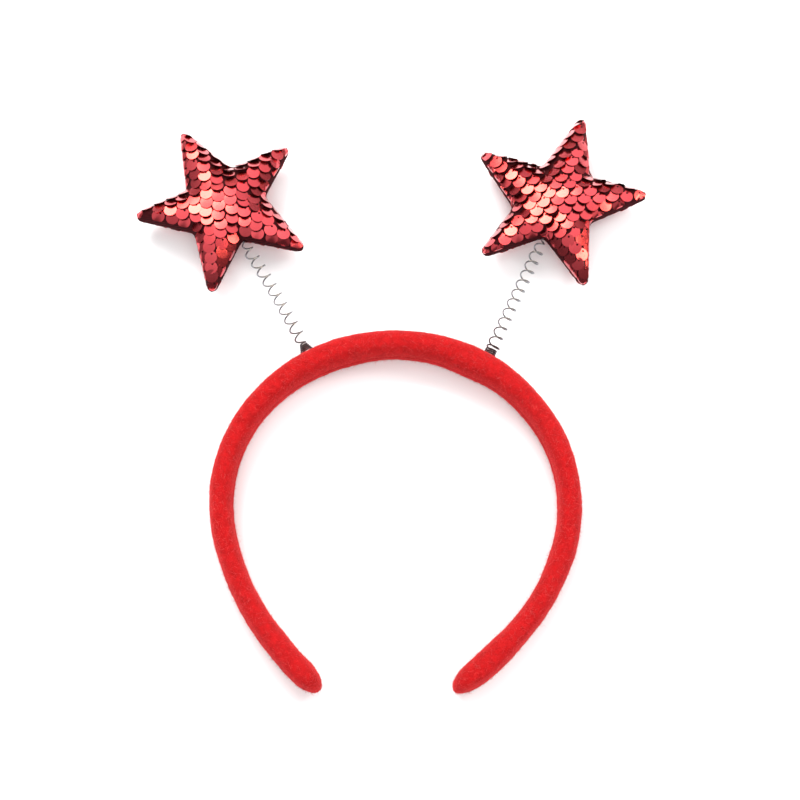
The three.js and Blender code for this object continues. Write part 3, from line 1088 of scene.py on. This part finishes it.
def sequin_film():
    """Red metallised film with a satin lacquer. Each sequin has a tone of its own."""
    material, tree = new_material("red metallised PET film, punched")
    place = add_node(tree, "ShaderNodeTexCoord").outputs["Object"]
    tone = add_node(tree, "ShaderNodeAttribute", attribute_name="sequin_tone")
    speckle = add_node(tree, "ShaderNodeTexNoise", {
        "Vector": place, "Scale": 1 / SPECKLE_SIZE, "Detail": 2.0,
    })
    lacquer = add_node(tree, "ShaderNodeMix", {
        0: tone.outputs["Fac"], 6: linear("#D23A44"), 7: linear("#E04850"),
    }, data_type="RGBA")
    relief = add_node(tree, "ShaderNodeBump", {
        "Height": speckle.outputs["Fac"], "Strength": 0.18, "Distance": 0.05 * MM,
    })
    film = add_node(tree, "ShaderNodeBsdfPrincipled", {
        "Base Color": lacquer.outputs[2],
        "Metallic": 1.0,
        "Roughness": 0.24,
        "Coat Weight": 0.8,
        "Coat Roughness": 0.2,
        "Normal": relief.outputs[0],
    })
    add_node(tree, "ShaderNodeOutputMaterial", {"Surface": film.outputs[0]})
    return material


film = sequin_film()
print("film:", film.name)

# %% [markdown]
# One sequin is a flat ring of film, slightly domed, with its hole near the upper edge. It is built
# once as a small grid from the hole's edge to the rim, with a thickness, and copied to each place.

# %% One sequin
SEQUIN_RADIUS = 2.5 * MM
HOLE_RADIUS = 0.42 * MM
HOLE_OFFSET = np.array([0.6, 1.3]) * MM
FILM_THICKNESS = 0.1 * MM
DOME = 0.05 * MM
RIM_POINTS = 22
RING_SHARES = (0.0, 0.5, 1.0)


def one_sequin():
    """Points and faces of one sequin in its own plane, hole toward +Y."""
    turn = np.linspace(0, 2 * np.pi, RIM_POINTS, endpoint=False)
    circle = np.column_stack([np.cos(turn), np.sin(turn)])
    hole = HOLE_OFFSET + HOLE_RADIUS * circle
    flat = np.concatenate([hole + (SEQUIN_RADIUS * circle - hole) * share for share in RING_SHARES])
    dome = DOME * (1 - (flat ** 2).sum(axis=1) / SEQUIN_RADIUS ** 2)
    points = np.concatenate([
        np.column_stack([flat, dome + FILM_THICKNESS / 2]),
        np.column_stack([flat, dome - FILM_THICKNESS / 2]),
    ])
    under = len(flat)
    rim = (len(RING_SHARES) - 1) * RIM_POINTS
    faces = []
    for i in range(RIM_POINTS):
        j = (i + 1) % RIM_POINTS
        for ring in range(len(RING_SHARES) - 1):
            a, b = ring * RIM_POINTS, (ring + 1) * RIM_POINTS
            faces.append((a + i, b + i, b + j, a + j))
            faces.append((under + a + j, under + b + j, under + b + i, under + a + i))
        faces.append((rim + i, under + rim + i, under + rim + j, rim + j))
        faces.append((j, under + j, under + i, i))
    return points, faces


sequin_points, sequin_faces = one_sequin()
print("one sequin:", len(sequin_faces), "faces")

# %% [markdown]
# The star's edge seam is where its front and back meet, at half its height. Sequins near it are left
# out or caught in it, so the next steps need to know how far inside it a place is, and the way in.

# %% Edge seam
SEAM_TOLERANCE = 0.01 * MM


def seam_outline(side):
    """The star's edge seam, as points in order round its middle."""
    places = vertex_places(frame["nodes"][f"{side}_star"])
    seam = places[np.abs(places[:, 2] - SEAM_HEIGHT) < SEAM_TOLERANCE][:, :2]
    seam = np.unique(np.round(seam, 7), axis=0)
    middle = seam.mean(axis=0)
    order = np.argsort(np.arctan2(seam[:, 1] - middle[1], seam[:, 0] - middle[0]))
    return seam[order]


def to_seam(spots, outline):
    """Distance inside the seam, below zero outside it, and the way in, for each spot."""
    start = outline[None]
    edge = np.roll(outline, -1, axis=0)[None] - start
    offset = spots[:, None] - start
    share = np.clip((offset * edge).sum(-1) / (edge ** 2).sum(-1), 0, 1)
    apart = offset - share[..., None] * edge
    distance = np.linalg.norm(apart, axis=-1)
    nearest = distance.argmin(axis=1)
    rows = np.arange(len(spots))
    after = start + edge
    crosses = (start[..., 1] > spots[:, None, 1]) != (after[..., 1] > spots[:, None, 1])
    rise = np.where(np.abs(edge[..., 1]) < 1e-12, 1e-12, edge[..., 1])
    meet = start[..., 0] + edge[..., 0] * (spots[:, None, 1] - start[..., 1]) / rise
    inside = ((crosses & (spots[:, None, 0] < meet)).sum(axis=1) % 2) == 1
    sign = np.where(inside, 1.0, -1.0)
    inward = unit(apart[rows, nearest] + 1e-9) * sign[:, None]
    return distance[rows, nearest] * sign, inward


outlines = {side: seam_outline(side) for side in SIDES}
print("seam points:", {side: len(outlines[side]) for side in SIDES})

# %% [markdown]
# Sequin cloth is sewn flat, in staggered columns, before the star is cut and stuffed. So the rows
# are laid out on the flat cloth, which is a little wider than the stuffed star, and then each place
# slides in from the edge by what the bulge takes up. The bulge is deepest along the middle of an arm,
# so a short walk inward first finds how far away that is.

# %% Sewing plan
SEWING = {
    "left": {"column": 4.7, "row": 3.65, "column_drop": 1.83, "row_slide": 0.0, "turn_deg": 5.0,
             "hang_deg": 6.0, "lean_deg": -4.0, "start": (-61.73, 73.74)},
    "right": {"column": 5.4, "row": 3.2, "column_drop": 0.0, "row_slide": 2.4, "turn_deg": 5.5,
              "hang_deg": 9.5, "lean_deg": 5.5, "start": (51.68, 88.78)},
}
LATTICE_REACH = 16
EDGE_SLOPE = 0.476
EDGE_REACH = 13 * MM
EDGE_POWER = 0.28
EDGE_MARGINS = np.array([1.0, -0.4, -2.0]) * MM
TIP_START = 30 * MM
TIP_MARGIN = 0.4 * MM
DEPTH_STEPS = 200
LEAST_DEPTH = 0.2 * MM
WALK_STEP = 0.5 * MM


def sewing_spots(side, outline):
    """Middles of the sequins over the stuffed star, seen from above, and the way they hang."""
    plan = SEWING[side]
    turned_by = math.radians(plan["turn_deg"])
    across, along = math.cos(turned_by), math.sin(turned_by)
    spin = np.array([[across, -along], [along, across]])
    down = spin @ (0, -1)
    reach = range(-LATTICE_REACH, LATTICE_REACH + 1)
    column, row = (grid.ravel() for grid in np.meshgrid(reach, reach, indexing="ij"))
    flat = np.column_stack([column * plan["column"] + row % 2 * plan["row_slide"],
                            column % 2 * plan["column_drop"] - row * plan["row"]])
    flat = (flat @ spin.T + plan["start"]) * MM + down * HOLE_OFFSET[1]
    depth = np.linspace(0, EDGE_REACH, DEPTH_STEPS)
    slope = EDGE_SLOPE * (np.maximum(depth, LEAST_DEPTH) / EDGE_REACH) ** -EDGE_POWER
    slope *= FULLNESS * (1 - (depth / EDGE_REACH) ** (1 - EDGE_POWER)) ** (FULLNESS - 1)
    cloth = np.concatenate([[0], np.cumsum(np.sqrt(1 + slope[1:] ** 2) * np.diff(depth))])
    most_spare = cloth[-1] - depth[-1]
    inside, inward = to_seam(flat, outline)
    near = inside > EDGE_MARGINS.min() - most_spare
    flat, inside, inward = flat[near], inside[near], inward[near]
    walks = np.arange(0, EDGE_REACH + most_spare, WALK_STEP)
    ridge = np.max([to_seam(flat + inward * walk, outline)[0] for walk in walks], axis=0)
    spare = np.interp(ridge, depth, cloth) - np.minimum(ridge, EDGE_REACH)
    wanted = np.interp(inside + spare, cloth, depth) + np.minimum(inside + spare, 0)
    wanted = np.where(inside + spare > cloth[-1], inside, wanted)
    spots = flat + inward * (wanted - inside)[:, None]
    in_tip = np.linalg.norm(spots - outline.mean(axis=0), axis=1) > TIP_START
    margins = np.interp(inward @ down, (-1, 0, 1), EDGE_MARGINS)
    return spots[wanted > np.where(in_tip, np.maximum(margins, TIP_MARGIN), margins)], down


print("sequin columns:", {side: SEWING[side]["column"] for side in SIDES}, "mm apart")

# %% [markdown]
# Each sequin lies on the bulge like a plate on a ball. Rays cast straight down find the cloth under
# its middle and near its rim on four sides, and those points give its plane.

# %% Resting planes
CAST_HEIGHT = 50 * MM
REACH_SHARES = (0.25, 0.5, 0.75, 1.0)
REACH_SLACK = 1.02
TINY_NUDGE = 1e-6
LEAST_RISE = 0.80
CLOTH_GAP = 0.12 * MM


def cloth_point(tree, flat, face):
    """The pad's surface over a flat place, on the front (1) or the back (-1), or None past the edge."""
    start = Vector((flat[0], flat[1], SEAM_HEIGHT + face * CAST_HEIGHT))
    hit = tree.ray_cast(start, Vector((0, 0, -face)))[0]
    return None if hit is None else np.array(hit)


def last_point(tree, start, way, reach, face):
    """The cloth point furthest along a flat direction that a stretch of film still reaches."""
    found = start
    for share in REACH_SHARES:
        point = cloth_point(tree, start[:2] + way * reach * share, face)
        if point is None or np.linalg.norm(point - start) > reach * REACH_SLACK:
            break
        found = point
    return found


def resting_plane(tree, here, down, face):
    """Right, up and outward directions of a sequin that rests on the cloth, and its middle."""
    beside = np.array([-down[1], down[0]])
    ways = (down, -down, beside, -beside)
    low, high, one, other = rim = [last_point(tree, here, way, SEQUIN_RADIUS, face) for way in ways]
    fall = unit(low - high + np.append(down, 0) * TINY_NUDGE)
    outward = unit(np.cross(one - other + np.append(beside, 0) * TINY_NUDGE, fall))
    outward = outward * np.sign(outward[2] * face)
    if outward[2] * face < LEAST_RISE:
        outward = np.append(unit(outward[:2]) * math.sqrt(1 - LEAST_RISE ** 2), LEAST_RISE * face)
        fall = unit(fall - outward * fall.dot(outward))
    rise = max(0.0, *((point - here).dot(outward) for point in rim))
    return np.cross(-fall, outward), -fall, outward, here + outward * (rise + CLOTH_GAP)


cloth_trees = {}
for side in SIDES:
    cloth_faces = [polygon.vertices[:] for polygon in pads[side].data.polygons]
    cloth_trees[side] = BVHTree.FromPolygons(vertex_places(pads[side]).tolist(), cloth_faces)
    bulge_top = cloth_point(cloth_trees[side], outlines[side].mean(axis=0), 1)[2]
    print(f"{side} star: cloth {bulge_top / MM:.1f} mm above the table at its middle")

# %% [markdown]
# Film that reaches past the star's edge is caught in the seam, so it is bent down there. At the upper
# edges film would stand off the cloth, so it is held to it.

# %% Film at the seam
SEAM_CLEARANCE = {1: 0.3 * MM, -1: 1.0 * MM}
SEAM_PRESS = 1.2 * MM
UPPER_EDGE = 0.2
PRESS_SLACK = 0.8
FOLD_SHARE = 0.3
FOLD_CAP = 0.4 * MM


def bend_at_seam(points, outline, tree, face, down):
    """Bends film that reaches past the seam down over it, and holds it to the cloth at upper edges."""
    inside, inward = to_seam(points[:, :2], outline)
    upper_side = np.arange(len(points)) < len(points) // 2
    past = np.maximum(SEAM_CLEARANCE[face] + FILM_THICKNESS * ~upper_side - inside, 0)
    height = face * (points[:, 2] - SEAM_HEIGHT) - np.minimum(past * FOLD_SHARE, FOLD_CAP)
    flat = points[:, :2] + inward * past[:, None]
    for k in np.flatnonzero((inside < SEAM_PRESS) & (inward @ down > UPPER_EDGE)):
        under = cloth_point(tree, flat[k], face)
        if under is not None:
            slack = CLOTH_GAP + FILM_THICKNESS * upper_side[k] + PRESS_SLACK * max(0.0, inside[k])
            height[k] = min(height[k], face * (under[2] - SEAM_HEIGHT) + slack)
    return np.column_stack([flat, SEAM_HEIGHT + face * np.maximum(height, -FOLD_CAP)])


print(f"film in front stays {SEAM_CLEARANCE[1] / MM:.1f} mm inside the seam")

# %% [markdown]
# A sequin swings about its hole: the free edge lifts over the next sequin, most where it points
# uphill and least on the lowest arm, and each leans a little differently, because thread is slack.
# Those small leans are what sparkle.

# %% Sewing
EDGE_GRIP = 0.4 * MM
LEAST_SPACING = 2.3 * MM
UPHILL_DEG = 28.0
DOWNHILL_DEG = 19.0
DOWNHILL_RISES = (0.0, 0.22, 0.62, 0.76)
STEEPEST_DEG = 58.0
LOWER_ARM = np.array([10, 19]) * MM
LOWER_ARM_SHARE = 0.1
LEAN_SPREAD_DEG = 2.9
TURN_SPREAD_DEG = 7.0
PLACE_SPREAD = 0.22 * MM
TABLE_GAP = 0.05 * MM


def turned(first, second, angle):
    """Two unit vectors turned in their own plane, the first toward the second."""
    return (first * math.cos(angle) + second * math.sin(angle),
            second * math.cos(angle) - first * math.sin(angle))


def sew(side):
    """Sequins over the front and back of one star, as one joined mesh."""
    plan = SEWING[side]
    tree, outline = cloth_trees[side], outlines[side]
    spots, down = sewing_spots(side, outline)
    spots = spots + draws.normal(0, PLACE_SPREAD, spots.shape)
    to_edge, inward = to_seam(spots, outline)
    gripped = spots + inward * np.maximum(EDGE_GRIP - to_edge, 0)[:, None]
    centre, lowest = outline.mean(axis=0), outline[outline[:, 1].argmin()]
    down_arm = smooth_step((spots - centre) @ unit(lowest - centre), *LOWER_ARM)
    lifts = 1 - (1 - LOWER_ARM_SHARE) * down_arm
    hole_place = np.array([HOLE_OFFSET[0], HOLE_OFFSET[1], 0.0])
    points, faces, tones, sewn = [], [], [], []
    for face in (1, -1):
        for spot, grip, way_in, lift in zip(spots, gripped, inward, lifts):
            hang, lean = np.radians(draws.normal((plan["hang_deg"], plan["lean_deg"]), LEAN_SPREAD_DEG))
            twist = math.radians(draws.normal(0, TURN_SPREAD_DEG))
            tone = draws.random()
            here = cloth_point(tree, grip, face)
            place = np.array([*spot, here[2] if here is not None else 0.0])
            if here is None or any(np.linalg.norm(place - other) < LEAST_SPACING for other in sewn):
                continue
            sewn.append(place)
            right, up, outward, middle = resting_plane(tree, here, down, face)
            edgeward = np.append(way_in, 0) - outward * outward[:2].dot(way_in)
            middle = middle - unit(edgeward) * np.linalg.norm(spot - grip)
            hole = middle + right * HOLE_OFFSET[0] + up * HOLE_OFFSET[1]
            rise = up[2] * face
            if face == 1:
                hang = hang + math.radians(DOWNHILL_DEG) * np.interp(rise, DOWNHILL_RISES, (0, 1, 1, 0))
            hang = hang * lift + math.radians(UPHILL_DEG) * max(0.0, -rise)
            hang = min(hang, max(0.0, math.radians(STEEPEST_DEG) + math.asin(rise)))
            right, up = turned(right, up, twist)
            outward, up = turned(outward, up, hang)
            right, outward = turned(right, outward, lean)
            film_points = hole + (sequin_points - hole_place) @ np.stack([right, up, outward])
            base = len(tones) * len(sequin_points)
            film_points = bend_at_seam(film_points, outline, tree, face, down)
            film_points[:, 2] += max(0.0, TABLE_GAP - film_points[:, 2].min())
            points.append(film_points)
            faces += [tuple(base + k for k in corner) for corner in sequin_faces]
            tones.append(tone)
    sequins = mesh_piece(f"{side}_star_sequins", np.concatenate(points), faces, film, crisp_deg=40)
    shade = sequins.data.attributes.new("sequin_tone", "FLOAT", "FACE")
    shade.data.foreach_set("value", np.repeat(tones, len(sequin_faces)).astype(np.float32))
    print(f"{side} star: {len(tones)} sequins")
    return sequins


for side in SIDES:
    sequins = sew(side)
    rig.ride(sequins, f"{side}_star")
    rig.slot(sequins, "sequin_cloth")

# %% [markdown]
# Last, the size of what shows is written next to the imported model's own size, so that the two can
# be compared.

# %% Size and finish
visual_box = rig.bounds()
with open("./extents.json", "w") as size_file:
    json.dump({
        "cad": [list(corner) for corner in cad_box],
        "visual": [list(corner) for corner in visual_box],
    }, size_file)
print("cad box", cad_box, "visual box", visual_box)
